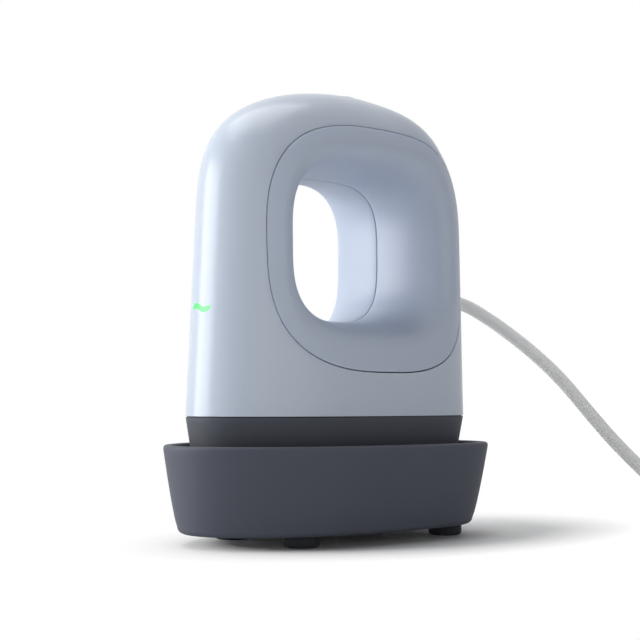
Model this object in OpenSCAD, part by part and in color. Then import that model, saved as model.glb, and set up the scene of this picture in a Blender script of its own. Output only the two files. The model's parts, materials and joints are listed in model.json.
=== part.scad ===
// Mini handheld heat press for craft transfers, standing in its safety base.
// The front (nose) points to -X, the rear to +X and +Z is up.
// The origin is the centre of the underside of the base. All sizes are in millimetres.

/* [Heat plate] */
// Length of the heat plate, nose to rear
plate_length = 82.5; // [70:0.5:96]
// Width of the heat plate
plate_width = 48.8; // [44:0.4:56]
// Thickness of the heat plate
plate_thickness = 6; // [4:0.5:8]
// Bevel round the plate's hot face
plate_bevel = 1; // [0.5:0.25:1.5]

/* [Body] */
// Distance from the plate's edge out to the body's edge
plate_margin = 3.45; // [2.8:0.1:4.5]
// Distance from the body's middle back to its widest place
widest_place = 8; // [5:1:11]
// Squareness of the rear corners seen from above
rear_squareness = 3.6; // [2.8:0.2:4.2]
// Wall of the outer shell
shell_wall = 2; // [1.6:0.2:2.4]
// Height of the line where the skirt meets the shell
skirt_top = 36; // [35:0.5:38]
// Height of the top of the body
body_top = 132; // [128:1:140]
// Height of the arch that makes the top of the body
arch_rise = 43; // [39:1:47]
// Inward lean of the nose, for each millimetre of height
nose_lean = 0.05; // [0.03:0.01:0.06]
// Inward lean of the sides, for each millimetre of height
side_lean = 0.024; // [0.01:0.002:0.03]
// Width of the visible joint lines between mouldings
joint_line = 0.3; // [0.2:0.05:0.4]

/* [Finger hole and grips] */
// Half length of the finger hole on the middle plane
hole_half_length = 22.9; // [20:0.5:24]
// Distance from the grip's top edge down to the finger hole on the middle plane
hole_top_gap = 12.8; // [11:0.2:15]
// Distance from the grip's lower edge up to the finger hole on the middle plane
hole_bottom_gap = 15.4; // [13:0.2:18]
// Width of the flush band round each grip
grip_band = 4.5; // [3:0.5:5.5]
// Wall of the grips
grip_wall = 2; // [1.6:0.2:2.4]
// Half length of the grip's outer edge
grip_half_length = 35.7; // [34:0.5:36.5]
// Distance from the top of the body down to the grip's outer edge
grip_top_gap = 13.1; // [12:0.2:16]
// Distance from the top of the skirt up to the grip's outer edge
grip_bottom_gap = 12.1; // [11:0.2:15]

/* [Skirt] */
// Wall of the heat skirt
skirt_wall = 1.8; // [1.4:0.2:2.2]
// Inward slope of the skirt, for each millimetre down
skirt_slope = 0.16; // [0.12:0.01:0.18]

/* [Safety base] */
// Height of the feet
foot_height = 3.5; // [2.5:0.5:5]
// Diameter of the feet
foot_diameter = 10; // [8:0.5:12]
// Height of the base's rim
rim_height = 28; // [26:0.5:30]
// Overhang of the rim past the body's outline
rim_overhang = 6.5; // [6:0.25:8]
// Overhang of the base's lower edge past the body's outline
base_overhang = 2.2; // [1.8:0.2:3]
// Wall of the base
base_wall = 2.5; // [2:0.25:3]
// Thickness of the heat-proof liner
liner_thickness = 2.5; // [2:0.5:3.5]

/* [Power button] */
// Diameter of the power button
button_diameter = 12; // [10:0.5:13]
// Travel of the power button
button_travel = 0.8; // [0.5:0.1:1.2]
// Depth of the button's flat top below the highest point of the arch, so that it stays within the curve
button_sunk = 0.25; // [0:0.05:0.5]
// Gap round the button
button_gap = 0.35; // [0.25:0.05:0.5]
// Wire of the button's spring
spring_wire = 0.5; // [0.4:0.05:0.6]
// Turns of the button's spring
spring_turns = 4; // [3:1:5]

/* [Cord] */
// Diameter of the power cord
cord_diameter = 4.2; // [3.8:0.1:4.6]
// Length of the strain relief outside the shell
relief_length = 16.5; // [14:0.5:17]
// Middle radius of the outermost turn of the coil
coil_radius = 29.6; // [28:0.2:31]
// Distance between turns and between layers of the coil
coil_pitch = 4.7; // [4.7:0.1:5]
// Turns in each layer of the coil
coil_turns = 2.72; // [2.47:0.25:2.72]
// Layers of the coil
coil_layers = 4; // [2:2:4]

/* [Hidden] */
$fn = 48;

plan_samples = 72;       // points round a moulding seen from above
loop_samples = 72;       // points round the finger hole
side_samples = 8;        // points across the shell, from the grip's edge to the outline
flare_samples = 7;       // points across a grip's flare
clearance = 0.3;         // between pieces that seat against each other
tiny = 0.01;

// Body, worked out from the plate
half_length = plate_length / 2 + plate_margin;
half_width = plate_width / 2 + plate_margin;
shoulder_height = body_top - arch_rise;
nose_arch_x = 2.1;       // power of the arch's outline along X, at the nose
nose_arch_z = 3.8;       // power of the arch's outline along Z, at the nose
back_arch_x = 1.5;       // power of the arch's outline along X, at the rear
back_arch_z = nose_arch_z * back_arch_x / nose_arch_x;
rear_lean = 0.004;
grip_place = 2.7;        // middle of the grip's outer edge along X
grip_top = body_top - grip_top_gap;
grip_bottom = skirt_top + grip_bottom_gap;
grip_height = (grip_top + grip_bottom) / 2;
grip_half_height = (grip_top - grip_bottom) / 2;
hole_place = 1.5;        // middle of the finger hole along X
hole_height = (grip_top - hole_top_gap + grip_bottom + hole_bottom_gap) / 2;
hole_half_height = (grip_top - hole_top_gap - grip_bottom - hole_bottom_gap) / 2;
hole_power = 3.4;        // squareness of the finger hole
grip_power = 3;          // squareness of the grip's outer edge
flare_power = 2.5;       // roundness of the flare into the finger hole

// Heights of the stack, from the table up
base_bottom = foot_height;
floor_top = base_bottom + base_wall;
liner_top = floor_top + liner_thickness;
plate_bottom = liner_top + clearance;
plate_top = plate_bottom + plate_thickness;
element_diameter = 6;
element_height = plate_top + element_diameter / 2;
clamp_top = plate_top + element_diameter + 1.2;
pad_bottom = clamp_top + clearance;
pad_thickness = 3;
chassis_thickness = 2.4;
chassis_top = skirt_top - 2;
chassis_bottom = chassis_top - chassis_thickness;
board_thickness = 1.6;
board_bottom = chassis_top + 7;
board_top = board_bottom + board_thickness;

// ---------- Shared shapes ----------

function smooth(t) = let (u = min(1, max(0, t))) u * u * (3 - 2 * u);
function mix(a, b, t) = a + (b - a) * t;
function unit(v) = v / norm(v);

// A point of the body's outline seen from above, at angle a, moved outwards by g:
// an ellipse towards the nose and a squarer curve towards the rear.
function plan_point(a, g) =
    let (c = cos(a), s = sin(a), nose = c < 0, p = nose ? 1 : 2 / rear_squareness,
         reach = (nose ? half_length + widest_place : half_length - widest_place) + g)
    [widest_place + sign(c) * reach * pow(abs(c), p), sign(s) * (half_width + g) * pow(abs(s), p)];

function plan_outline(g) = [for (i = [0:plan_samples - 1]) plan_point(360 * i / plan_samples, g)];

// How far the body reaches from its widest place towards the nose, the rear and the sides, at height z.
// The value t is the depth below the outer surface.
function nose_reach(z, t) = half_length + widest_place - nose_lean * (z - skirt_top) - t;
function rear_reach(z, t) = half_length - widest_place - rear_lean * (z - skirt_top) - t;
function side_reach(z, t) = half_width - side_lean * (z - skirt_top) - t;
function arch_height(t) = body_top - shoulder_height - t;

// Half of the body's width at a place seen from the side.
function width_at(x, z, t) =
    let (nose = x < widest_place,
         ex = abs(x - widest_place) / (nose ? nose_reach(z, t) : rear_reach(z, t)),
         ez = max(0, (z - shoulder_height) / arch_height(t)),
         px = nose ? nose_arch_x : back_arch_x,
         pz = nose ? nose_arch_z : back_arch_z,
         s = nose ? 2 : 2 + (rear_squareness - 2) * smooth(ex / 0.6))
    side_reach(z, t) * pow(max(0, 1 - pow(pow(ex, px) + pow(ez, pz), s / px)), 1 / s);

// A loop of points at angle a: a rounded rectangle of half sizes h, seen from the side.
function loop_point(a, middle, h, p) =
    middle + [cos(a), sin(a)] * pow(pow(abs(cos(a)) / h[0], p) + pow(abs(sin(a)) / h[1], p), -1 / p);

grip_middle = [grip_place, grip_height];
hole_middle = [hole_place, hole_height];
function grip_edge(a, g) = loop_point(a, grip_middle, [grip_half_length - g, grip_half_height - g], grip_power);
function hole_edge(a, g) = loop_point(a, hole_middle, [hole_half_length + g, hole_half_height + g], hole_power);

// Triangles between ring i and ring k of n points each.
function band_faces(i, k, n) = [
    for (j = [0:n - 1]) let (j2 = (j + 1) % n)
        each [[i * n + j, i * n + j2, k * n + j2], [i * n + j, k * n + j2, k * n + j]]
];

// A solid from a closed stack of rings, all of the same number of points: the last ring joins the first.
module ring_solid(rings) {
    n = len(rings[0]);
    m = len(rings);
    polyhedron(points = [for (r = rings) each r],
               faces = [for (i = [0:m - 1]) each band_faces(i, (i + 1) % m, n)], convexity = 6);
}

// A tube along a path of points, with n sides and flat ends.
function path_dir(path, i) = unit(path[min(i + 1, len(path) - 1)] - path[max(i - 1, 0)]);
function tube_ring(p, d, r, n) =
    let (s = unit(cross(d, [0, 0, 1])), u = cross(s, d))
    [for (k = [0:n - 1]) p + r * (cos(360 * k / n) * s + sin(360 * k / n) * u)];

module tube(path, r, n) {
    last = len(path) - 1;
    polyhedron(
        points = [for (i = [0:last]) each tube_ring(path[i], path_dir(path, i), r, n)],
        faces = concat(
            [for (k = [1:n - 2]) [0, k + 1, k]],
            [for (i = [0:last - 1]) each band_faces(i, i + 1, n)],
            [for (k = [1:n - 2]) [last * n, last * n + k, last * n + k + 1]]),
        convexity = 10);
}

// A pan-head screw: its head rests at the origin and its shank goes down.
module screw(shank, length, head, head_height) {
    cylinder(d = head, h = head_height);
    translate([0, 0, -length]) cylinder(d = shank, h = length + tiny);
}

// ---------- Safety base ----------

// The base's outer overhang at height z.
base_edge = 1.8;
function base_grow(z) =
    base_overhang + (rim_overhang - base_overhang)
    * pow(max(0, z - base_bottom - base_edge) / (rim_height - base_bottom - base_edge), 0.8);

module base_tray() {
    rim_round = base_wall / 2;
    wall_top = rim_height - rim_round;
    outer = [
        for (a = [0:45:90]) [base_overhang - base_edge + base_edge * sin(a), base_bottom + base_edge * (1 - cos(a))],
        for (k = [1:4]) let (z = mix(base_bottom + base_edge, wall_top, k / 4)) [base_grow(z), z]];
    rim = [for (a = [45:45:135])
        [base_grow(wall_top) - rim_round + rim_round * cos(a), wall_top + rim_round * sin(a)]];
    inner = [
        for (k = [3:-1:1]) let (z = mix(floor_top + base_edge, wall_top, k / 3)) [base_grow(z) - base_wall, z],
        for (a = [90:-45:0]) let (r = base_grow(floor_top + base_edge) - base_wall - base_edge)
            [r + base_edge * sin(a), floor_top + base_edge * (1 - cos(a))]];
    profile = concat(outer, rim, inner);
    ring_points = [for (p = profile) [for (q = plan_outline(p[0])) [q[0], q[1], p[1]]]];
    m = len(profile);
    n = plan_samples;
    color("#464a55") difference() {
        polyhedron(
            points = concat([for (r = ring_points) each r],
                            [[widest_place, 0, base_bottom], [widest_place, 0, floor_top]]),
            faces = concat(
                [for (i = [0:m - 2]) each band_faces(i + 1, i, n)],
                [for (j = [0:n - 1]) [m * n, j, (j + 1) % n]],
                [for (j = [0:n - 1]) [m * n + 1, (m - 1) * n + (j + 1) % n, (m - 1) * n + j]]),
            convexity = 6);
        for (p = base_screw_places)
            translate([p[0], p[1], base_bottom - 1]) cylinder(d = base_screw_shank + 0.2, h = base_wall + 2);
    }
}

base_screw_places = [[-20, 0], [24, 0]];
base_screw_shank = 2.5;
base_screw_head = 5;
base_screw_head_height = 1.6;
liner_inset = 7;

module base_liner() {
    color("#b9b4a8") difference() {
        translate([0, 0, floor_top]) linear_extrude(liner_thickness) polygon(plan_outline(-liner_inset));
        for (p = base_screw_places)
            translate([p[0], p[1], floor_top - 1]) cylinder(d = base_screw_head + 1, h = liner_thickness + 2);
    }
}

module base_screws() {
    color("#c9ccd1") for (p = base_screw_places)
        translate([p[0], p[1], floor_top]) screw(base_screw_shank, base_wall, base_screw_head, base_screw_head_height);
}

// Feet: low, with a rounded edge, two towards the nose and two towards the rear.
foot_places = [for (x = [-half_length * 0.45, half_length * 0.8], s = [-1, 1])
    [x, s * (x < 0 ? half_width * 0.56 : half_width * 0.63)]];

module base_feet() {
    r = foot_diameter / 2;
    e = 1;
    color("#2e3138") for (p = foot_places) translate(p)
        rotate_extrude() union() {
            polygon([[0, 0], [r - e, 0], [r - e * 0.3, e * 0.3], [r, e], [r, foot_height], [0, foot_height]]);
        }
}

// ---------- Outer shell ----------

// The shell's outline seen from the side, as one list of points: up the nose, over the arch,
// down the rear and back along the lower edge. The value t is the depth below the outer surface.
straight_steps = 5;
arch_steps = 12;
edge_steps = 22;

function arch_point(a, nose, t) =
    let (px = nose ? nose_arch_x : back_arch_x, pz = nose ? nose_arch_z : back_arch_z,
         z = shoulder_height + arch_height(t) * pow(max(0, sin(a)), 2 / pz),
         e = pow(max(0, cos(a)), 2 / px))
    [widest_place + (nose ? -nose_reach(z, t) : rear_reach(z, t)) * e, z];

function edge_point(a, t) =
    let (nose = cos(a) < 0, p = nose ? 1 : 2 / rear_squareness)
    [widest_place + sign(cos(a)) * (nose ? nose_reach(skirt_top, t) : rear_reach(skirt_top, t)) * pow(abs(cos(a)), p),
     skirt_top];

function shell_outline(t) = concat(
    [for (k = [0:straight_steps - 1]) let (z = mix(skirt_top, shoulder_height, k / straight_steps))
        [widest_place - nose_reach(z, t), z]],
    [for (k = [0:arch_steps]) arch_point(90 * k / arch_steps, true, t)],
    [for (k = [arch_steps - 1:-1:0]) arch_point(90 * k / arch_steps, false, t)],
    [for (k = [straight_steps - 1:-1:0]) let (z = mix(skirt_top, shoulder_height, k / straight_steps))
        [widest_place + rear_reach(z, t), z]],
    [for (k = [1:edge_steps - 1]) edge_point(180 * k / edge_steps, t)]);

arch_count = 2 * straight_steps + 2 * arch_steps + 1;   // points from the front edge to the rear edge

// A row of points from the grip's edge to the outline, on the side s, at depth t.
// On the outline both sides share one point, except along the lower edge.
function shell_row(outer, inner, s, t) =
    let (d = outer - grip_middle, a = atan2(d[1], d[0]), start = grip_edge(a, 0))
    [for (j = [0:side_samples]) let (u = 1 - pow(1 - j / side_samples, 2), q = mix(start, inner, u))
        [q[0], s * width_at(q[0], q[1], t), q[1]]];

module shell_body() {
    outer = shell_outline(0);
    inner = shell_outline(shell_wall);
    n = len(outer);
    m = side_samples + 1;
    // Sheets: 0 near outside, 1 far outside, 2 near inside, 3 far inside
    points = [for (sheet = [0:3], i = [0:n - 1])
        each shell_row(outer[i], sheet < 2 ? outer[i] : inner[i], sheet % 2 == 0 ? -1 : 1, sheet < 2 ? 0 : shell_wall)];
    // A point on the arch's outline belongs to both sides, and the near side's is used.
    function at(sheet, i, j) =
        let (k = i % n, shared = j == side_samples && k < arch_count)
        ((shared ? sheet - sheet % 2 : sheet) * n + k) * m + j;
    function quad(a, b, c, d) = [[a, b, c], [a, c, d]];
    sheets = [for (sheet = [0:3], i = [0:n - 1], j = [0:side_samples - 1])
        let (q = [at(sheet, i, j), at(sheet, i + 1, j), at(sheet, i + 1, j + 1), at(sheet, i, j + 1)],
             turned = sheet == 0 || sheet == 3)
        each (turned ? quad(q[0], q[3], q[2], q[1]) : quad(q[0], q[1], q[2], q[3]))];
    rims = [for (s = [0:1], i = [0:n - 1])
        let (q = [at(s, i, 0), at(s, i + 1, 0), at(s + 2, i + 1, 0), at(s + 2, i, 0)])
        each (s == 0 ? quad(q[0], q[1], q[2], q[3]) : quad(q[3], q[2], q[1], q[0]))];
    lower = [for (s = [0:1], i = [arch_count - 1:n - 1])
        let (q = [at(s, i, side_samples), at(s, i + 1, side_samples),
                  at(s + 2, i + 1, side_samples), at(s + 2, i, side_samples)])
        each (s == 0 ? quad(q[3], q[2], q[1], q[0]) : quad(q[0], q[1], q[2], q[3]))];
    polyhedron(points = points, faces = concat(sheets, rims, lower), convexity = 8);
}

button_place = [widest_place, 0];
wave_gap = 0.1;
relief_height = 72.6;
relief_neck = 7.6;

module outer_shell() {
    color("#b4bfce") difference() {
        shell_body();
        translate([button_place[0], button_place[1], body_top - 3 * shell_wall])
            cylinder(d = button_diameter + 2 * button_gap, h = 4 * shell_wall);
        translate([half_length - 3 * shell_wall, 0, relief_height])
            rotate([0, 90, 0]) cylinder(d = relief_neck + 2 * clearance, h = 5 * shell_wall);
        wave_bar(wave_gap, light_board_place - 3, 1);
    }
}

// ---------- Grips ----------

// A section of a grip at angle a, from the outer edge in to the middle plane, at depth t.
function grip_section(a, t) =
    let (edge = grip_edge(a, joint_line), rim = hole_edge(a, t), crest = hole_edge(a, 0),
         turn = mix(edge, crest, grip_band / norm(edge - crest)),
         w = width_at(turn[0], turn[1], 0) - t)
    concat(
        [for (k = [0:1]) let (q = mix(edge, turn, k / 2)) [q[0], -(width_at(q[0], q[1], 0) - t), q[1]]],
        [for (k = [flare_samples:-1:0])
            let (b = 90 * k / flare_samples, q = mix(rim, turn, 1 - pow(cos(b), 2 / flare_power)),
                 y = w * pow(sin(b), 2 / flare_power))
            [q[0], -max(joint_line / 2, y), q[1]]]);

module grip_half() {
    rings = [for (i = [0:loop_samples - 1]) let (a = 360 * i / loop_samples, back = grip_section(a, grip_wall))
        concat(grip_section(a, 0), [for (k = [len(back) - 1:-1:0]) back[k]])];
    ring_solid(rings);
}

module grip_near() {
    color("#a9b3c3") grip_half();
}

module grip_far() {
    color("#a9b3c3") mirror([0, 1, 0]) grip_half();
}

// ---------- Skirt and chassis ----------

skirt_bottom = plate_top - 0.6;
function skirt_grow(z) = -min(plate_margin - 0.6, skirt_slope * (skirt_top - z));

module skirt() {
    top = skirt_top - joint_line;
    levels = [skirt_bottom, max(skirt_bottom + 1, skirt_top - (plate_margin - 0.6) / skirt_slope), top];
    profile = concat(
        [for (z = levels) [skirt_grow(z), z]],
        [for (k = [2:-1:0]) [skirt_grow(levels[k]) - skirt_wall, levels[k]]]);
    n = plan_samples;
    m = len(profile);
    color("#50545f") polyhedron(
        points = [for (p = profile) each [for (q = plan_outline(p[0])) [q[0], q[1], p[1]]]],
        faces = [for (i = [0:m - 1]) each band_faces((i + 1) % m, i, n)], convexity = 6);
}

standoff_places = [[-32, 0], [28, 0], [3, 19], [3, -19]];
standoff_diameter = 5;
board_post_places = [for (x = [-22, 26], y = [-13, 13]) [x, y]];
board_post_diameter = 5;
screw_shank = 2.5;
screw_head = 4.6;
screw_head_height = 1.5;
pillar_place = 37.5;          // middle of the rear pillar along X
pillar_size = [6, 16];
clamp_bottom = relief_height - 5;
switch_size = [6, 6, 3.4];

module chassis() {
    color("#8d9095") difference() {
        union() {
            translate([0, 0, chassis_bottom]) linear_extrude(chassis_thickness)
                polygon(plan_outline(skirt_grow(chassis_bottom) - skirt_wall - clearance));
            for (p = board_post_places)
                translate([p[0], p[1], chassis_top - tiny])
                    cylinder(d = board_post_diameter, h = board_bottom - chassis_top + tiny);
            translate([pillar_place - pillar_size[0] / 2, -pillar_size[1] / 2, chassis_top - tiny])
                cube([pillar_size[0], pillar_size[1], clamp_bottom - chassis_top]);
            translate([-38.4, -3, chassis_top - tiny]) cube([2.4, 6, light_board_bottom - chassis_top]);
        }
        for (p = standoff_places)
            translate([p[0], p[1], chassis_bottom - 1]) cylinder(d = screw_shank + 0.4, h = chassis_thickness + 2);
        for (p = board_post_places)
            translate([p[0], p[1], chassis_top]) cylinder(d = screw_shank - 0.3, h = board_bottom - chassis_top + 1);
        for (y = [-1, 1])
            translate([pillar_place, y * clamp_screw_offset, clamp_bottom - 8]) cylinder(d = screw_shank - 0.3, h = 10);
    }
}

// ---------- Heat plate and what it carries ----------

module heat_plate() {
    g = -plate_margin;
    levels = [[g - plate_bevel, plate_bottom], [g, plate_bottom + plate_bevel]];
    color("#6f7278") union() {
        translate([0, 0, plate_bottom + plate_bevel])
            linear_extrude(plate_thickness - plate_bevel - 1) polygon(plan_outline(g));
        translate([0, 0, plate_top - 1 - tiny]) linear_extrude(1 + tiny)
            polygon(plan_outline(skirt_grow(skirt_bottom) - skirt_wall - clearance));
        hull() for (l = levels) translate([0, 0, l[1]]) linear_extrude(tiny) polygon(plan_outline(l[0]));
    }
}

element_leg = 12;        // half of the distance between the element's legs
element_front = -12;     // where the legs run into the front bend
element_rear = 24;       // where the legs end

module heating_element() {
    color("#4d4f52") translate([0, 0, element_height]) {
        for (s = [-1, 1]) {
            translate([element_front, s * element_leg, 0]) rotate([0, 90, 0])
                cylinder(d = element_diameter, h = element_rear - element_front);
            translate([element_rear - tiny, s * element_leg, 0]) rotate([0, 90, 0]) cylinder(d = 3, h = 5);
        }
        translate([element_front, 0, 0]) rotate([0, 0, 90])
            rotate_extrude(angle = 180) translate([element_leg, 0]) circle(d = element_diameter);
    }
}

clamp_bar_places = [-6, 16];

module element_clamp() {
    color("#c0c3c8") for (x = clamp_bar_places)
        translate([x - 4, -element_leg - 5, 0]) {
            translate([0, 0, plate_top + element_diameter]) cube([8, 2 * element_leg + 10, 1.2]);
            translate([0, element_leg + 1, plate_top]) cube([8, 8, element_diameter + tiny]);
        }
}

module insulation_pad() {
    color("#e6e2d6") difference() {
        translate([0, 0, pad_bottom]) linear_extrude(pad_thickness) polygon(plan_outline(-8));
        for (p = standoff_places)
            translate([p[0], p[1], pad_bottom - 1]) cylinder(d = standoff_diameter + 2 * clearance, h = pad_thickness + 2);
    }
}

module temperature_sensor() {
    color("#d8c79a") translate([-16, 0, plate_top]) {
        translate([0, 0, 1.5]) rotate([0, 90, 0]) cylinder(d = 3, h = 6, center = true);
        translate([-4, -2, 0]) cube([8, 4, 1]);
    }
}

module thermal_fuse() {
    color("#d9d9d2") translate([36, 0, plate_top + 2.1]) {
        rotate([90, 0, 0]) cylinder(d = 4.2, h = 11, center = true);
        rotate([90, 0, 0]) cylinder(d = 1, h = 20, center = true);
    }
}

module plate_standoffs() {
    color("#b8bbc0") for (p = standoff_places) translate([p[0], p[1], plate_top]) difference() {
        cylinder(d = standoff_diameter, h = chassis_bottom - plate_top);
        translate([0, 0, 2]) cylinder(d = screw_shank, h = chassis_bottom - plate_top);
    }
}

module plate_screws() {
    color("#c9ccd1") for (p = standoff_places)
        translate([p[0], p[1], chassis_top]) screw(screw_shank - 0.2, 10, screw_head, screw_head_height);
}

// ---------- Electronics ----------

board_size = [60, 32];
board_place = 2;

module control_board() {
    color("#2f6b45") difference() {
        translate([board_place - board_size[0] / 2, -board_size[1] / 2, board_bottom])
            cube([board_size[0], board_size[1], board_thickness]);
        for (p = board_post_places)
            translate([p[0], p[1], board_bottom - 1]) cylinder(d = screw_shank + 0.4, h = board_thickness + 2);
    }
}

module board_parts() {
    color("#2b2d33") translate([0, 0, board_top]) {
        translate([-16, -8, 0]) cube([16, 16, 11]);
        translate([3, -11, 0]) cube([10, 8, 9]);
        translate([3, 1, 0]) cube([5, 9, 9]);
        translate([15, 4, 0]) cylinder(d = 8, h = 10);
        translate([19, -6, 0]) cylinder(d = 5, h = 7);
        translate([-25, -8, 0]) cube([6, 16, 5]);
    }
}

module board_screws() {
    color("#c9ccd1") for (p = board_post_places)
        translate([p[0], p[1], board_top]) screw(screw_shank - 0.3, 6, screw_head, screw_head_height);
}

light_height = 66;
light_board_bottom = light_height - 8;
light_board_place = -37.2;    // middle of the light board along X
nose_inside = widest_place - nose_reach(light_height, shell_wall);

module light_board() {
    color("#2f6b45") translate([light_board_place - 0.6, -5, light_board_bottom]) cube([1.2, 10, 20]);
}

light_steps = [0, 6, -6];     // heights of the three lights, from the one that is lit

module light_diodes() {
    color("#e8f3e4") for (z = light_steps)
        translate([light_board_place - 0.6, 0, light_height + z]) rotate([0, -90, 0]) cylinder(d = 2.4, h = 1.2);
}

// A wave-shaped piece that carries the light through the nose and lies flush with the outer surface.
wave_length = 8.4;
wave_height = 0.6;
wave_stroke = 1.6;
wave_place = 1;          // middle of the wave along Y
wave_steps = 14;

function nose_x(y, z, t) =
    widest_place - nose_reach(z, t) * sqrt(1 - pow(y / side_reach(z, t), 2));
function wave_ring(k, grow, back, front) =
    let (u = k / wave_steps, y = wave_place + mix(-wave_length / 2 - grow, wave_length / 2 + grow, u),
         z = light_height - wave_height * sin(360 * u),
         h = grow + wave_stroke / 2 * mix(0.45, 1, sqrt(1 - pow(abs(2 * u - 1), 6))))
    [[back, y, z - h], [back, y, z + h], [nose_x(y, z + h, 0) - front, y, z + h], [nose_x(y, z - h, 0) - front, y, z - h]];

// The wave as a bar from the place back to the distance front outside the surface.
module wave_bar(grow, back, front) {
    polyhedron(
        points = [for (k = [0:wave_steps]) each wave_ring(k, grow, back, front)],
        faces = concat(
            [[0, 2, 1], [0, 3, 2]],
            [for (k = [0:wave_steps - 1]) each band_faces(k, k + 1, 4)],
            [let (e = 4 * wave_steps) each [[e, e + 1, e + 2], [e, e + 2, e + 3]]]), convexity = 4);
}

module light_guide() {
    color("#64dc78") wave_bar(0, light_board_place - 2.1, 0);
}

// ---------- Power button ----------

button_top = body_top - button_sunk;
flange_thickness = 1;
flange_overlap = 1;      // how far the flange reaches past the button, under the shell
flange_gap = 0.5;        // between the flange and the lowest place of the shell above it
flange_radius = button_diameter / 2 + flange_overlap;
flange_top = min([for (a = [0:15:345])
    top_at(button_place[0] + flange_radius * cos(a), button_place[1] + flange_radius * sin(a), shell_wall)]) - flange_gap;
stem_length = 1;
carrier_top = flange_top - flange_thickness - stem_length - button_travel - 0.1 - switch_size[2];
carrier_thickness = 1.6;
stem_diameter = 3;
stem_bottom = flange_top - flange_thickness - stem_length;

module power_button() {
    r = button_diameter / 2;
    e = 0.9;
    color("#c3ccd8") translate([button_place[0], button_place[1], 0]) rotate_extrude() polygon([
        [0, button_top], [r - 2 * e, button_top], [r - e * 0.6, button_top - e * 0.35], [r, button_top - e * 1.2],
        [r, flange_top], [flange_radius, flange_top], [flange_radius, flange_top - flange_thickness],
        [stem_diameter / 2, flange_top - flange_thickness], [stem_diameter / 2, stem_bottom], [0, stem_bottom]]);
}

// Height of the arch over a place seen from above, at depth t.
function top_at(x, y, t) =
    let (nose = x < widest_place,
         ex = abs(x - widest_place) / (nose ? nose_reach(body_top, t) : rear_reach(body_top, t)),
         px = nose ? nose_arch_x : back_arch_x, pz = nose ? nose_arch_z : back_arch_z,
         s = nose ? 2 : 2 + (rear_squareness - 2) * smooth(ex / 0.6))
    shoulder_height + arch_height(t)
        * pow(max(0, pow(1 - pow(abs(y) / side_reach(body_top, t), s), px / s) - pow(ex, px)), 1 / pz);

// A plate under the button, held by two posts that reach the inside of the shell.
carrier_length = 24;
carrier_width = 10;
post_thickness = 2.4;

module button_carrier() {
    color("#8d9095") union() {
        translate([button_place[0] - carrier_length / 2, -carrier_width / 2, carrier_top - carrier_thickness])
            cube([carrier_length, carrier_width, carrier_thickness]);
        for (s = [-1, 1]) let (x = button_place[0] + s * carrier_length / 2)
            translate([min(x, x - s * post_thickness), -carrier_width / 2, carrier_top - tiny])
                cube([post_thickness, carrier_width, top_at(x, carrier_width / 2, shell_wall) - clearance - carrier_top]);
    }
}

module tact_switch() {
    color("#3a3c42") translate([button_place[0], button_place[1], carrier_top]) {
        translate([-switch_size[0] / 2, -switch_size[1] / 2, 0]) cube([switch_size[0], switch_size[1], 2.4]);
        cylinder(d = 3, h = switch_size[2]);
    }
}

spring_radius = norm([switch_size[0], switch_size[1]]) / 2 + spring_wire / 2 + clearance;
spring_low = carrier_top + spring_wire / 2;
spring_high = flange_top - flange_thickness - spring_wire / 2 - 0.1;

module button_spring() {
    steps = 12;
    path = [for (k = [0:spring_turns * steps]) let (a = 360 * k / steps)
        [button_place[0] + spring_radius * cos(a), button_place[1] + spring_radius * sin(a),
         mix(spring_low, spring_high, k / (spring_turns * steps))]];
    color("#cfd2d6") tube(path, spring_wire / 2, 6);
}

// ---------- Cord inside and at the back ----------

clamp_screw_offset = 6;

module cord_clamp() {
    color("#8d9095") difference() {
        translate([pillar_place - pillar_size[0] / 2, -pillar_size[1] / 2, clamp_bottom])
            cube([pillar_size[0], pillar_size[1], 8.4]);
        translate([pillar_place - 10, 0, relief_height]) rotate([0, 90, 0]) cylinder(d = cord_diameter, h = 20);
        for (s = [-1, 1])
            translate([pillar_place, s * clamp_screw_offset, clamp_bottom - 1]) cylinder(d = screw_shank + 0.2, h = 12);
    }
}

module clamp_screws() {
    color("#c9ccd1") for (s = [-1, 1])
        translate([pillar_place, s * clamp_screw_offset, clamp_bottom + 8.4])
            screw(screw_shank - 0.3, 14, screw_head, screw_head_height);
}

relief_start = half_length - rear_lean * (relief_height - skirt_top);
relief_end = relief_start + relief_length;
relief_ribs = 5;
relief_flange = 1.7;     // depth of the flange inside the shell

// A tapered sleeve with ring grooves, flanged on the inside of the shell.
module strain_relief() {
    bore = cord_diameter / 2;
    neck = relief_neck / 2;
    step = (relief_length - 3) / relief_ribs;
    function taper(x) = mix(neck + 0.5, bore + 0.6, x / relief_length);
    ribs = [for (k = [0:relief_ribs - 1]) let (x = 1.6 + k * step)
        each [[taper(x), x], [taper(x + step * 0.6), x + step * 0.6],
              [taper(x + step * 0.6) - 0.7, x + step * 0.7], [taper(x + step) - 0.7, x + step * 0.9]]];
    profile = concat(
        [[bore, -shell_wall - relief_flange], [neck + 1.6, -shell_wall - relief_flange],
         [neck + 1.6, -shell_wall - clearance],
         [neck, -shell_wall - clearance], [neck, clearance], [neck + 0.9, clearance]],
        ribs, [[taper(relief_length), relief_length - 0.8], [bore + 0.4, relief_length], [bore, relief_length]]);
    color("#c4c6c9") translate([relief_start, 0, relief_height]) rotate([0, 90, 0])
        rotate_extrude() polygon(profile);
}

lead_diameter = 1.6;

module internal_leads() {
    start = pillar_place - pillar_size[0] / 2 - clearance;
    color("#b04a3e") for (s = [-1, 1])
        tube(curve([[start, s * 1.1, relief_height], [start - 2.5, s * 1.4, relief_height - 2], [30.5, s * 2.4, 64],
                    [28.5, s * 4, board_top + 10], [26, s * 5, board_top + 4], [24.5, s * 5, board_top + clearance]], 2),
             lead_diameter / 2, 8);
}

// ---------- Free cord, coil and plug ----------

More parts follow.
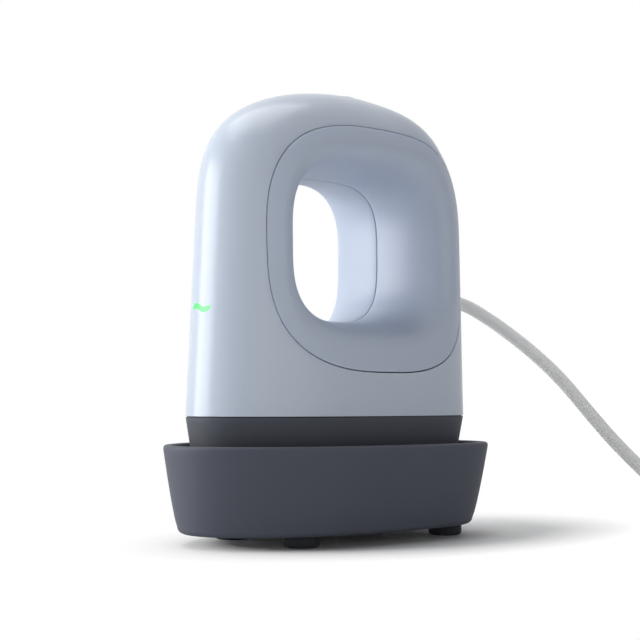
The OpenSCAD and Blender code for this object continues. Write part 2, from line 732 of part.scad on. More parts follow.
// The route of the free cord, chosen by hand: out of the back, down to the table and along it.
cord_route = [
    [pillar_place - pillar_size[0] / 2, 0, relief_height], [46, 0, relief_height], [59, 0, relief_height],
    [62, -0.1, 72.3], [65, -0.5, 71.6], [68, -1.5, 70.3], [71, -3.2, 68.3], [75, -6.4, 64.9], [80, -11.8, 59.2],
    [83, -15.7, 54.9], [86, -19.9, 50], [88.5, -23.8, 44.9], [90.8, -28, 39.1], [93, -32.2, 33.4],
    [95.2, -36.4, 27.9], [97.4, -40.7, 22.8], [99.5, -45.1, 18], [101, -49.8, 13.4], [102.1, -54.6, 9.4],
    [102.8, -59.5, 6.2], [103.2, -64.5, 3.9], [103.4, -69.6, 2.5], [103.4, -74.8, cord_diameter / 2],
    [103.4, -80, cord_diameter / 2]
];
cord_sides = 10;

// Points along a smooth curve through the route, with steps points in each span.
function curve_at(p, k, t) =
    let (a = p[max(k - 1, 0)], b = p[k], c = p[k + 1], d = p[min(k + 2, len(p) - 1)])
    0.5 * (2 * b + (c - a) * t + (2 * a - 5 * b + 4 * c - d) * t * t + (3 * b - a - 3 * c + d) * t * t * t);
function curve(p, steps) = concat(
    [for (k = [0:len(p) - 2], i = [0:steps - 1]) curve_at(p, k, i / steps)], [p[len(p) - 1]]);

free_path = curve(cord_route, 2);

module power_cord() {
    color("#c9cbcd") tube(free_path, cord_diameter / 2, cord_sides);
}

// The coil starts where the free cord ends, winds in and out layer by layer, and runs off to the plug.
coil_lead_in = 20.6;     // straight length between the free cord and the coil
plug_size = [30, 24, 14];
coil_heading = path_dir(free_path, len(free_path) - 1);
coil_start_angle = atan2(coil_heading[0], -coil_heading[1]);
coil_begin = cord_route[len(cord_route) - 1];
coil_middle = coil_begin + coil_heading * coil_lead_in
    - coil_radius * [cos(coil_start_angle), sin(coil_start_angle), 0];
coil_total = coil_turns * coil_layers;
coil_rings = 24;

function coil_depth(t) = let (u = t / coil_turns, k = min(coil_layers - 1, floor(u)), f = u - k)
    (k % 2 == 0 ? f : 1 - f) * coil_turns * coil_pitch;
function coil_lift(t, k = 1) =
    k >= coil_layers ? 0 : coil_pitch * smooth((t - (k * coil_turns - 0.25)) / 0.5) + coil_lift(t, k + 1);
function coil_point(t) = let (r = coil_radius - coil_depth(t), a = coil_start_angle - 360 * t)
    coil_middle + [r * cos(a), r * sin(a), coil_lift(t)];

// From the end of the top layer the cord runs on, climbs and turns over the coil to the plug, which lies on it.
tail_run = 22;           // length that still follows the outermost turn
tail_radius = 19;        // radius of the turn over the coil
tail_turn = 90;
tail_straight = 4.2;     // straight length before the plug
tail_climb = 45;         // length over which the cord climbs
tail_end = coil_point(coil_total);
tail_rise = (coil_layers - 1) * coil_pitch + cord_diameter + plug_size[2] / 2 + tiny - tail_end[2];
tail_angle = coil_start_angle - 360 * coil_total;
tail_turn_angle = tail_angle - tail_run / coil_radius * 180 / PI;
tail_middle = coil_middle + (coil_radius - tail_radius) * [cos(tail_turn_angle), sin(tail_turn_angle), 0];
tail_curve = tail_radius * tail_turn * PI / 180;
tail_length = tail_run + tail_curve + tail_straight;
plug_angle = tail_turn_angle - tail_turn;
tail_heading = [sin(plug_angle), -cos(plug_angle), 0];

function tail_point(s) =
    let (a = s < tail_run ? tail_angle - s / coil_radius * 180 / PI
             : tail_turn_angle - min(s - tail_run, tail_curve) / tail_radius * 180 / PI,
         q = s < tail_run ? coil_middle + coil_radius * [cos(a), sin(a), 0]
             : tail_middle + tail_radius * [cos(a), sin(a), 0] + max(0, s - tail_run - tail_curve) * tail_heading)
    [q[0], q[1], tail_end[2] + tail_rise * smooth(s / tail_climb)];

coil_path = concat(
    [coil_begin],
    [for (k = [0:floor(coil_total * coil_rings)]) coil_point(k / coil_rings)],
    [for (k = [0:15]) tail_point(k / 15 * tail_length)]);

// Least distance between points of the coil that are more than half a turn apart, less the cord's diameter
least_gap = min([for (i = [0:len(coil_path) - 1], j = [i + coil_rings / 2:1:len(coil_path) - 1])
    norm(coil_path[i] - coil_path[j])]) - cord_diameter;
echo(least_gap_in_coil_mm = least_gap);

module cord_coil() {
    color("#c9cbcd") tube(coil_path, cord_diameter / 2, 6);
}

plug_start = tail_point(tail_length);
plug_turn = atan2(tail_heading[1], tail_heading[0]);
blade_spacing = 12.7;
blade_size = [17, 1.5, 6.3];

module at_plug() {
    translate(plug_start) rotate([0, 0, plug_turn]) children();
}

// A flat moulded plug: the outline seen from above, cut by the outline seen from the side.
module plug_body() {
    l = plug_size[0];
    w = plug_size[1] / 2;
    h = plug_size[2] / 2;
    tail = 4;
    color("#c9cbcd") at_plug() intersection() {
        translate([0, 0, -h]) linear_extrude(2 * h)
            polygon([[0, -tail], [10, -tail - 1], [15, -w + 3], [18, -w + 0.8], [21, -w], [l, -w + 1.2],
                     [l, w - 1.2], [21, w], [18, w - 0.8], [15, w - 3], [10, tail + 1], [0, tail]]);
        translate([0, w, 0]) rotate([90, 0, 0]) linear_extrude(2 * w)
            polygon([[0, -tail], [10, -tail - 0.8], [16, -h + 0.6], [20, -h], [l - 1, -h], [l, -h + 1],
                     [l, h - 1], [l - 1, h], [20, h], [16, h - 0.6], [10, tail + 0.8], [0, tail]]);
    }
}

module plug_blades() {
    color("#c8b27a") at_plug() for (s = [-1, 1])
        translate([plug_size[0], s * blade_spacing / 2 - blade_size[1] / 2, -blade_size[2] / 2]) difference() {
            cube(blade_size);
            translate([blade_size[0] - 4, -1, blade_size[2] / 2]) rotate([-90, 0, 0]) cylinder(d = 3, h = 4);
        }
}

base_tray();
base_liner();
base_feet();
base_screws();
outer_shell();
grip_near();
grip_far();
skirt();
chassis();
heat_plate();
heating_element();
element_clamp();
insulation_pad();
temperature_sensor();
thermal_fuse();
plate_standoffs();
plate_screws();
control_board();
board_parts();
board_screws();
light_board();
light_diodes();
light_guide();
power_button();
button_spring();
button_carrier();
tact_switch();
cord_clamp();
clamp_screws();
strain_relief();
internal_leads();
power_cord();
cord_coil();
plug_body();
plug_blades();
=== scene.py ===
"""A mini handheld heat press standing in its safety base: the pieces, the finishes, the studio and the camera."""

import json
import math

import bpy
from bpy.props import FloatProperty, FloatVectorProperty, IntProperty, PointerProperty
from bpy.types import Operator, Panel, PropertyGroup
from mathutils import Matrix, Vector


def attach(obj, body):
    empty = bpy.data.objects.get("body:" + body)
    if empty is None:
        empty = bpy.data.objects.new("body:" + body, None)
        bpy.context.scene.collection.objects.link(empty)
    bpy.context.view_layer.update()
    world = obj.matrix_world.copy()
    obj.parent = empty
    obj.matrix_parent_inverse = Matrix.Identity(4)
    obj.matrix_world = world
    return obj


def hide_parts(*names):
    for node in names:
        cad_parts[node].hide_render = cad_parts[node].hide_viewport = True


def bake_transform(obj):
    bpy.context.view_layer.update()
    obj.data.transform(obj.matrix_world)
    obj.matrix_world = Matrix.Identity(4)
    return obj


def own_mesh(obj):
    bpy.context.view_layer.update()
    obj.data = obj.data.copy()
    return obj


bl_info = {
    "name": "Mini Heat Press",
    "version": (1, 0, 0),
    "blender": (4, 5, 0),
    "location": "3D View > Sidebar > Heat Press",
    "description": "Models a mini handheld heat press, its base and its cord over the packed frame",
    "category": "Add Mesh",
}

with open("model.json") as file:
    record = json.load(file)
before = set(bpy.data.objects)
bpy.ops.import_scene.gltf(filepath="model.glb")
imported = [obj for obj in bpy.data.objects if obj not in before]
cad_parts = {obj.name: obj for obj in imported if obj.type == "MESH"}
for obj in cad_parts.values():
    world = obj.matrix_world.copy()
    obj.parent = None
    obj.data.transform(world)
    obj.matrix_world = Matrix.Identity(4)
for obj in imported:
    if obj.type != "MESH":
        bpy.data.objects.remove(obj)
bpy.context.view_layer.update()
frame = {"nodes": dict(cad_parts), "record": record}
MM = 0.001

# ---------- The part's own sizes, in millimetres, as the frame was drawn ----------

# The heat plate, and the body's half length and half width at the shell's lower edge
PLATE_LENGTH, PLATE_WIDTH, PLATE_MARGIN = 82.5, 48.8, 3.45
HALF_LENGTH, HALF_WIDTH = PLATE_LENGTH / 2 + PLATE_MARGIN, PLATE_WIDTH / 2 + PLATE_MARGIN

# From above: where the body is widest, how square its rear is, and the share of the rear over which it gets so
WIDEST, REAR_POWER, REAR_EASE = 8.0, 3.6, 0.6

# From the side: the heights, how much each face leans in, and the powers of the arch before and behind WIDEST
SKIRT_TOP, SHOULDER, TOP = 36.0, 89.0, 132.0
NOSE_LEAN, SIDE_LEAN, REAR_LEAN = 0.05, 0.024, 0.004
NOSE_X, NOSE_Z, BACK_X = 2.1, 3.8, 1.5
BACK_Z = NOSE_Z * BACK_X / NOSE_X

# The grips' outer edge and the finger hole, as rounded rectangles seen from the side
GRIP_MIDDLE, GRIP_HALF, GRIP_POWER = (2.7, 83.5), (35.7, 35.4), 3.0
HOLE_MIDDLE, HOLE_HALF, HOLE_POWER = (1.5, 84.8), (22.9, 21.3), 3.4

# The gap of a joint line, the mouldings' wall, the flat band round the grips and the power of their flare
JOINT, WALL, BAND, FLARE = 0.3, 2.0, 4.5, 2.5

# The base: its underside and rim, its rounding and wall, and how far its rim and its foot stand out
FOOT, RIM, BASE_EDGE, BASE_WALL = 3.5, 28.0, 1.8, 2.5
OVER_RIM, OVER_EDGE = 6.5, 2.2


# ---------- The body's form ----------

def smooth(t):
    t = min(1.0, max(0.0, t))
    return t * t * (3 - 2 * t)


def mix(a, b, t):
    return a + (b - a) * t


def nose_reach(z, depth=0.0):
    return HALF_LENGTH + WIDEST - NOSE_LEAN * (z - SKIRT_TOP) - depth


def rear_reach(z, depth=0.0):
    return HALF_LENGTH - WIDEST - REAR_LEAN * (z - SKIRT_TOP) - depth


def side_reach(z, depth=0.0):
    return HALF_WIDTH - SIDE_LEAN * (z - SKIRT_TOP) - depth


def arch_powers(nose):
    return (NOSE_X, NOSE_Z) if nose else (BACK_X, BACK_Z)


def half_width(x, z, depth=0.0):
    """Half of the body's width at a place seen from the side, some depth below its surface."""
    nose = x < WIDEST
    along = abs(x - WIDEST) / (nose_reach(z, depth) if nose else rear_reach(z, depth))
    up = max(0.0, (z - SHOULDER) / (TOP - SHOULDER - depth))
    px, pz = arch_powers(nose)
    s = 2.0 if nose else 2 + (REAR_POWER - 2) * smooth(along / REAR_EASE)
    return side_reach(z, depth) * max(0.0, 1 - (along**px + up**pz) ** (s / px)) ** (1 / s)


def plan_point(angle, grow):
    """A point of the outline seen from above, moved outwards by grow."""
    c, s = math.cos(angle), math.sin(angle)
    nose = c < 0
    p = 1.0 if nose else 2 / REAR_POWER
    reach = (HALF_LENGTH + WIDEST if nose else HALF_LENGTH - WIDEST) + grow
    return (WIDEST + math.copysign(reach * abs(c) ** p, c), math.copysign((HALF_WIDTH + grow) * abs(s) ** p, s))


def evenly(curve, start, stop, count):
    """Parameters between start and stop at which a curve's points lie evenly apart."""
    fine = 500
    params = [mix(start, stop, (1 - math.cos(math.pi * k / fine)) / 2) for k in range(fine + 1)]
    points = [Vector(curve(p)) for p in params]
    along = [0.0]
    for a, b in zip(points, points[1:]):
        along.append(along[-1] + (b - a).length)
    out, k = [], 0
    for i in range(count + 1):
        want = along[-1] * i / count
        while k < fine - 1 and along[k + 1] < want:
            k += 1
        span = along[k + 1] - along[k]
        out.append(mix(params[k], params[k + 1], (want - along[k]) / span if span else 0.0))
    return out


def plan_quarter(quarter, count):
    """Angles that lie evenly along one quarter of the outline seen from above."""
    return evenly(lambda a: plan_point(a, 0.0), quarter * math.pi / 2, (quarter + 1) * math.pi / 2, count)


PLAN = [a for quarter in range(4) for a in plan_quarter(quarter, 60)[:-1]]


def plan_rows(profile):
    """Rows of points round the outline seen from above, one for each (grow, height) of a section."""
    return [[(*plan_point(a, grow), z) for a in PLAN] for grow, z in profile]


def loop_point(angle, middle, half, power, grow):
    """A point of a rounded rectangle seen from the side."""
    c, s = math.cos(angle), math.sin(angle)
    r = (abs(c / (half[0] + grow)) ** power + abs(s / (half[1] + grow)) ** power) ** (-1 / power)
    return (middle[0] + r * c, middle[1] + r * s)


def grip_edge(angle, inset=0.0):
    return loop_point(angle, GRIP_MIDDLE, GRIP_HALF, GRIP_POWER, -inset)


def hole_edge(angle, grow=0.0):
    return loop_point(angle, HOLE_MIDDLE, HOLE_HALF, HOLE_POWER, grow)


def shell_outline():
    """The shell seen from the side: up the nose, over the arch, down the rear, then along the lower edge."""

    def arch(nose):
        px, pz = arch_powers(nose)

        def point(a):
            z = SHOULDER + (TOP - SHOULDER) * max(0.0, math.sin(a)) ** (2 / pz)
            out = max(0.0, math.cos(a)) ** (2 / px)
            return (WIDEST - nose_reach(z) * out if nose else WIDEST + rear_reach(z) * out, z)

        return point

    front, back = arch(True), arch(False)
    rise = [mix(SKIRT_TOP, SHOULDER, k / 40) for k in range(40)]
    points = [(WIDEST - nose_reach(z), z) for z in rise]
    points += [front(a) for a in evenly(front, 0.0, math.pi / 2, 70)]
    points += [back(a) for a in evenly(back, math.pi / 2, 0.0, 60)[1:]]
    points += [(WIDEST + rear_reach(z), z) for z in reversed(rise)]
    lower = plan_quarter(0, 50)[1:] + plan_quarter(1, 50)[:-1]  # they share a point, which weld merges
    return points + [(plan_point(a, 0.0)[0], SKIRT_TOP) for a in lower]


# ---------- Making pieces ----------

SMOOTH_ANGLE, CORD_SMOOTH_ANGLE = math.radians(35), math.radians(60)


def start_clean():
    if bpy.context.object and bpy.context.object.mode != "OBJECT":
        bpy.ops.object.mode_set(mode="OBJECT")
    bpy.ops.object.select_all(action="DESELECT")


def pick(piece):
    start_clean()
    piece.select_set(True)
    bpy.context.view_layer.objects.active = piece


def mesh_piece(name, points, faces):
    """A new object from points in millimetres."""
    mesh = bpy.data.meshes.new(name)
    mesh.from_pydata([tuple(MM * c for c in p) for p in points], [], faces)
    piece = bpy.data.objects.new(name, mesh)
    bpy.context.scene.collection.objects.link(piece)
    return piece


def grid_faces(n, m, closed_rows=False, closed_columns=False):
    """The faces between n rows of m points, closed round on themselves where asked."""
    faces = []
    for i in range(n if closed_rows else n - 1):
        a, b = i * m, (i + 1) % n * m
        for j in range(m if closed_columns else m - 1):
            k = (j + 1) % m
            faces.append((a + j, b + j, b + k, a + k))
    return faces


def grid_piece(name, rows, closed_rows=False, closed_columns=False, caps=False):
    """A sheet through rows of points, with a face over its first and last row where it has caps."""
    n, m = len(rows), len(rows[0])
    faces = grid_faces(n, m, closed_rows, closed_columns)
    if caps:
        faces += [tuple(range(m)), tuple(reversed(range((n - 1) * m, n * m)))]
    return mesh_piece(name, [p for row in rows for p in row], faces)


def weld(piece, distance=0.01):
    """Merge the points that lie closer than distance, in millimetres, and turn the faces outwards."""
    pick(piece)
    bpy.ops.object.mode_set(mode="EDIT")
    bpy.ops.mesh.select_all(action="SELECT")
    bpy.ops.mesh.remove_doubles(threshold=distance * MM)
    bpy.ops.mesh.normals_make_consistent(inside=False)
    bpy.ops.object.mode_set(mode="OBJECT")


def modify(piece, kind, **settings):
    """Add a modifier, set it and apply it."""
    pick(piece)
    modifier = piece.modifiers.new(kind.title(), kind)
    for key, value in settings.items():
        setattr(modifier, key, value)
    bpy.ops.object.modifier_apply(modifier=modifier.name)


def round_edges(piece, width, segments, angle):
    """Bevel, by a width in millimetres, the edges that are sharper than an angle in degrees."""
    modify(piece, "BEVEL", width=width * MM, segments=segments, limit_method="ANGLE",
           angle_limit=math.radians(angle), use_clamp_overlap=True)


def cut_round(piece, place, radius, height):
    """Cut a round hole from above."""
    start_clean()
    bpy.ops.mesh.primitive_cylinder_add(vertices=96, radius=radius * MM, depth=height * MM,
                                        location=[MM * c for c in place])
    cutter = bpy.context.object
    modify(piece, "BOOLEAN", operation="DIFFERENCE", object=cutter, solver="EXACT")
    bpy.data.objects.remove(cutter)


def dress(piece, slot):
    """Give a piece the finish of a slot in place of any that it has."""
    piece.data.materials.clear()
    piece.data.materials.append(paint(slot))


def finish_piece(piece, body, slot, node):
    """Smooth and dress a piece, and let it ride on a body and stand for a node of the frame."""
    pick(piece)
    bpy.ops.object.shade_smooth_by_angle(angle=SMOOTH_ANGLE)
    dress(piece, slot)
    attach(piece, body)
    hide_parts(node)


# ---------- Shader maths ----------

class Wire:
    """A socket that takes part in Python expressions."""

    def __init__(self, nodes, socket):
        self.nodes, self.socket = nodes, socket

    def _math(self, operation, *values):
        return self.nodes.node("ShaderNodeMath", {"operation": operation}, dict(enumerate(values)))

    def __add__(self, other):
        return self._math("ADD", self, other)

    __radd__ = __add__

    def __sub__(self, other):
        return self._math("SUBTRACT", self, other)

    def __rsub__(self, other):
        return self._math("SUBTRACT", other, self)

    def __mul__(self, other):
        return self._math("MULTIPLY", self, other)

    __rmul__ = __mul__

    def __truediv__(self, other):
        return self._math("DIVIDE", self, other)

    def __rtruediv__(self, other):
        return self._math("DIVIDE", other, self)

    def larger(self, other):
        return self._math("MAXIMUM", self, other)

    def clamp(self):
        return self.nodes.node("ShaderNodeClamp", {}, {"Value": self})


class Nodes:
    """A node tree, with one way to add a node and to fill a socket."""

    def __init__(self, tree):
        self.tree = tree

    def put(self, target, value):
        if isinstance(value, Wire):
            self.tree.links.new(value.socket, target)
        else:
            target.default_value = value

    def node(self, kind, settings, sockets, output=0):
        """A node with its settings, then the values or wires of its sockets, which go by name or by number."""
        node = self.tree.nodes.new(kind)
        for key, value in settings.items():
            setattr(node, key, value)
        for key, value in sockets.items():
            self.put(node.inputs[key], value)
        return Wire(self, node.outputs[output])

    def ray(self, kind):
        return self.node("ShaderNodeLightPath", {}, {}, output=kind)

    def mixed_surface(self, factor, first, second):
        """Send a mix of two shaders to the tree's output."""
        mixed = self.node("ShaderNodeMixShader", {}, {0: factor, 1: first, 2: second})
        self.put(next(n for n in self.tree.nodes if n.type.startswith("OUTPUT")).inputs["Surface"], mixed)


# A Mix node set to colours takes its two colours at these inputs, and gives the mixed one at this output
MIX_FACTOR, MIX_FIRST, MIX_SECOND, MIX_RESULT = 0, 6, 7, 2


class Paint(Nodes):
    """A material with one Principled BSDF and short ways to vary its finish."""

    def __init__(self, name, colour, roughness, **sockets):
        self.material = bpy.data.materials.new(name)
        self.material.use_nodes = True
        super().__init__(self.material.node_tree)
        self.colour = colour
        self.bsdf = next(n for n in self.tree.nodes if n.type == "BSDF_PRINCIPLED")
        self.place = self.node("ShaderNodeTexCoord", {}, {}, output="Object")
        self.set("Base Color", (*colour, 1.0))
        self.set("Roughness", roughness)
        for key, value in sockets.items():
            self.set(key.replace("_", " "), value)

    def set(self, socket, value):
        self.put(self.bsdf.inputs[socket], value)

    def noise(self, scale, detail=2.0, stretch=None):
        where = self.place
        if stretch:
            where = self.node("ShaderNodeMapping", {}, {"Vector": where, "Scale": stretch})
        return self.node("ShaderNodeTexNoise", {}, {"Vector": where, "Scale": scale, "Detail": detail})

    def waves(self, direction, scale, distortion):
        return self.node("ShaderNodeTexWave", {"bands_direction": direction},
                         {"Vector": self.place, "Scale": scale, "Distortion": distortion})

    def cells(self, scale, feature="F1"):
        return self.node("ShaderNodeTexVoronoi", {"feature": feature}, {"Vector": self.place, "Scale": scale})

    def tone(self, factor, low, high, socket="Base Color"):
        """Let a socket run between two shades of the finish's own colour."""
        shades = [(*(min(1.0, c * level) for c in self.colour), 1.0) for level in (low, high)]
        self.set(socket, self.node("ShaderNodeMix", {"data_type": "RGBA"},
                                   {MIX_FACTOR: factor, MIX_FIRST: shades[0], MIX_SECOND: shades[1]}, MIX_RESULT))

    def bump(self, height, strength, distance):
        """Raise the surface by a height, over a distance in metres."""
        self.set("Normal", self.node("ShaderNodeBump", {},
                                     {"Height": height, "Strength": strength, "Distance": distance}))


def linear(colour):
    """A screen colour, 0 to 255, as the value that a shader takes."""
    return tuple(((c / 255 + 0.055) / 1.055) ** 2.4 if c > 10 else c / 255 / 12.92 for c in colour)


# ---------- Finishes ----------

def moulded_gloss(name, colour):
    """Polished injection moulding: faint orange peel, hardly any change of tone, a clear surface."""
    p = Paint(name, colour, 0.3, Coat_Weight=0.12, Coat_Roughness=0.16, Specular_IOR_Level=0.4)
    p.tone(p.noise(22.0), low=0.985, high=1.015)
    p.set("Roughness", 0.27 + p.noise(60.0) * 0.05)
    p.bump(p.noise(420.0, detail=1.0), strength=0.03, distance=0.00003)
    return p.material


def moulded_satin(name, colour):
    """Satin moulding of the grips: a fine even grain."""
    p = Paint(name, colour, 0.42, Specular_IOR_Level=0.45)
    p.tone(p.noise(18.0), low=0.98, high=1.02)
    p.set("Roughness", 0.36 + p.noise(2600.0) * 0.12)
    p.bump(p.noise(5200.0), strength=0.12, distance=0.00004)
    return p.material


def moulded_matt(name, colour):
    """Spark-textured matt moulding: a fine pebble over a slow change of tone."""
    p = Paint(name, colour, 0.6, Specular_IOR_Level=0.4)
    pebble = p.noise(3200.0, detail=3.0)
    p.tone(p.noise(30.0, detail=3.0), low=0.94, high=1.06)
    p.set("Roughness", 0.52 + pebble * 0.16)
    p.bump(pebble, strength=0.25, distance=0.00008)
    return p.material


def rubber(name, colour):
    """Dull and slightly rough all over."""
    p = Paint(name, colour, 0.75, Specular_IOR_Level=0.3)
    p.tone(p.noise(140.0, detail=4.0), low=0.8, high=1.25)
    p.bump(p.noise(1800.0), strength=0.3, distance=0.0001)
    return p.material


def flexible_jacket(name, colour):
    """Soft vinyl cord jacket, slightly uneven along its length."""
    p = Paint(name, colour, 0.42, Specular_IOR_Level=0.45)
    p.tone(p.noise(60.0, detail=3.0), low=0.95, high=1.04)
    p.set("Roughness", 0.38 + p.noise(240.0) * 0.12)
    p.bump(p.noise(420.0, detail=1.0), strength=0.05, distance=0.00003)
    return p.material


def woven_mat(name, colour):
    """Heat-proof woven glass cloth."""
    p = Paint(name, colour, 0.85)
    weave = p.waves("X", 260.0, 0.6) * p.waves("Y", 260.0, 0.6)
    p.tone(weave, low=0.72, high=1.05)
    p.bump(weave, strength=0.5, distance=0.0002)
    return p.material


def plain_steel(name, colour, roughness=0.32, grain=(1.0, 60.0, 1.0)):
    """Rolled or drawn metal with a fine grain."""
    p = Paint(name, colour, roughness, Metallic=1.0)
    lines = p.noise(300.0, detail=3.0, stretch=grain)
    p.tone(lines, low=0.88, high=1.08)
    p.set("Roughness", roughness - 0.06 + lines * 0.14)
    p.bump(lines, strength=0.08, distance=0.00005)
    return p.material


def coated_plate(name, colour):
    """Ceramic coating with fine flecks."""
    p = Paint(name, colour, 0.38, Specular_IOR_Level=0.5)
    flecks = p.cells(1400.0)
    p.tone(flecks, low=1.4, high=0.85)
    p.set("Roughness", 0.3 + flecks * 0.2)
    p.bump(p.noise(700.0), strength=0.15, distance=0.00006)
    return p.material


def circuit_board(name, colour):
    """Solder mask with paler tracks."""
    p = Paint(name, colour, 0.35)
    tracks = p.cells(190.0, "DISTANCE_TO_EDGE")
    p.tone((tracks * 9.0).clamp(), low=1.9, high=1.0)
    p.bump(tracks, strength=0.2, distance=0.0001)
    return p.material


def lit_pipe(name, colour):
    """Translucent green light pipe, lit from behind."""
    p = Paint(name, colour, 0.3, Emission_Strength=0.85)
    glow = p.noise(500.0, detail=1.0)
    p.tone(glow, low=0.9, high=1.1, socket="Emission Color")
    p.tone(glow, low=0.9, high=1.05)
    return p.material


# For each of the record's material slots: how it is made, the material's name, and its colour, which is either
# one of the panel's or the levels that a screen shows; then the roughness and the grain of a metal
FINISHES = {
    "shell_gloss": (moulded_gloss, "polished shell", "shell"),
    "grip_satin": (moulded_satin, "satin grip", "grip"),
    "button_gloss": (moulded_gloss, "polished button", "button"),
    "skirt_plastic": (moulded_matt, "textured skirt", "skirt"),
    "base_plastic": (moulded_matt, "textured base", "base"),
    "foot_rubber": (rubber, "foot rubber", (44, 46, 51)),
    "liner_mat": (woven_mat, "woven liner", (205, 200, 186)),
    "inner_plastic": (moulded_matt, "inner moulding", (141, 144, 149)),
    "plate_coating": (coated_plate, "coated plate", (95, 98, 104)),
    "element_steel": (plain_steel, "sheathed element", (120, 122, 126), 0.5),
    "clamp_steel": (plain_steel, "plain steel", (190, 193, 198)),
    "screw_steel": (plain_steel, "zinc-plated steel", (198, 201, 206), 0.28),
    "sensor_body": (rubber, "ceramic body", (216, 208, 180)),
    "board_green": (circuit_board, "solder mask", (40, 98, 64)),
    "part_black": (moulded_satin, "component body", (48, 50, 56)),
    "indicator": (lit_pipe, "lit indicator", "indicator"),
    "cord_jacket": (flexible_jacket, "cord jacket", "cord"),
    "lead_jacket": (flexible_jacket, "lead jacket", (176, 74, 62)),
    "blade_brass": (plain_steel, "plated blade", (200, 186, 150), 0.25, (60.0, 1.0, 1.0)),
}
PAINTS = {}


def paint(slot):
    """The finish of one of the record's material slots, made once."""
    if slot not in PAINTS:
        maker, name, colour, *rest = FINISHES[slot]
        if isinstance(colour, str):
            colour = tuple(getattr(bpy.context.scene.press_colours, colour))
        else:
            colour = linear(colour)
        PAINTS[slot] = maker(name, colour, *rest)
    return PAINTS[slot]


# ---------- The pieces ----------

# The gap round the button, how deep it is sunk, its edge's radius, and the height of the flange that keeps it in
BUTTON_GAP, BUTTON_SUNK, BUTTON_EDGE, FLANGE = 0.35, 0.25, 0.7, 128.06


def button_radius():
    return bpy.context.scene.press_sizes.button_width / MM / 2


def make_shell():
    """Two sides that run from the grips' edge out to the outline, given a wall and the button's hole."""
    outline, steps, ease = shell_outline(), 26, 2.4
    points = []
    for side in (-1, 1):
        for edge in outline:
            start = grip_edge(math.atan2(edge[1] - GRIP_MIDDLE[1], edge[0] - GRIP_MIDDLE[0]))
            for k in range(steps + 1):
                out = 1 - (1 - k / steps) ** ease
                x, z = mix(start[0], edge[0], out), mix(start[1], edge[1], out)
                points.append((x, side * half_width(x, z), z))
    near = [face[::-1] for face in grid_faces(len(outline), steps + 1, closed_rows=True)]
    far = [tuple(len(points) // 2 + corner for corner in face[::-1]) for face in near]
    shell = mesh_piece("shell_moulding", points, near + far)
    weld(shell, 0.02)
    modify(shell, "SOLIDIFY", thickness=WALL * MM, offset=-1.0, use_even_offset=True)
    cut_round(shell, (WIDEST, 0, TOP), button_radius() + BUTTON_GAP, 12)
    round_edges(shell, 0.28, segments=2, angle=60)
    return shell


def make_grip(side):
    """One grip, whose section is a flat band at its edge and half of the flare into the hole."""
    turns, across, along_band = 240, 26, 6

    def section(a, depth):
        edge, rim, crest = grip_edge(a, JOINT), hole_edge(a, depth), hole_edge(a)
        span = math.dist(edge, crest)
        turn = [mix(e, c, BAND / span) for e, c in zip(edge, crest)]
        width = half_width(*turn) - depth
        out = []
        for k in range(along_band):
            x, z = (mix(e, t, k / along_band) for e, t in zip(edge, turn))
            out.append((x, half_width(x, z) - depth, z))
        for k in range(across, -1, -1):
            b = math.pi / 2 * k / across
            x, z = (mix(r, t, 1 - max(0.0, math.cos(b)) ** (2 / FLARE)) for r, t in zip(rim, turn))
            out.append((x, max(JOINT / 2, width * max(0.0, math.sin(b)) ** (2 / FLARE)), z))
        return out

    rows = []
    for i in range(turns):
        a = math.tau * i / turns
        rows.append([(x, side * y, z) for x, y, z in section(a, 0.0) + section(a, WALL)[::-1]])
    name = "grip_near_moulding" if side < 0 else "grip_far_moulding"
    grip = grid_piece(name, rows, closed_rows=True, closed_columns=True)
    weld(grip, 0.005)
    round_edges(grip, 0.25, segments=2, angle=60)
    return grip


def make_skirt():
    """The heat guard, with a ridge that fills the joint line and a tongue that goes up inside the shell."""
    top, bottom = SKIRT_TOP - JOINT, 14.2
    wall, slope, limit = 1.8, 0.16, PLATE_MARGIN - 0.6
    knee = SKIRT_TOP - limit / slope
    ridge_in, ridge_top = -0.4, SKIRT_TOP - 0.04
    tongue_out, tongue_in, tongue_top, tongue_foot = -WALL - 0.15, -WALL - 1.05, top + 1.8, top - 1
    thicker = 0.3

    def grow(z):
        return -min(limit, slope * (SKIRT_TOP - z))

    heights = [mix(bottom, knee, k / 4) for k in range(4)] + [mix(knee, top, k / 10) for k in range(11)]
    outside = [(grow(z), z) for z in heights]
    ridge = [(ridge_in, top), (ridge_in, ridge_top), (tongue_out, ridge_top)]
    tongue = [(tongue_out, tongue_top), (tongue_in, tongue_top), (tongue_in, tongue_foot)]
    inside = [(grow(z) - wall, z) for z in heights[:-4]] + [(grow(heights[-4]) - wall - thicker, heights[-4])]
    skirt = grid_piece("skirt_moulding", plan_rows(outside + ridge + tongue + inside[::-1]),
                       closed_rows=True, closed_columns=True)
    weld(skirt)
    round_edges(skirt, 0.35, segments=3, angle=50)
    return skirt


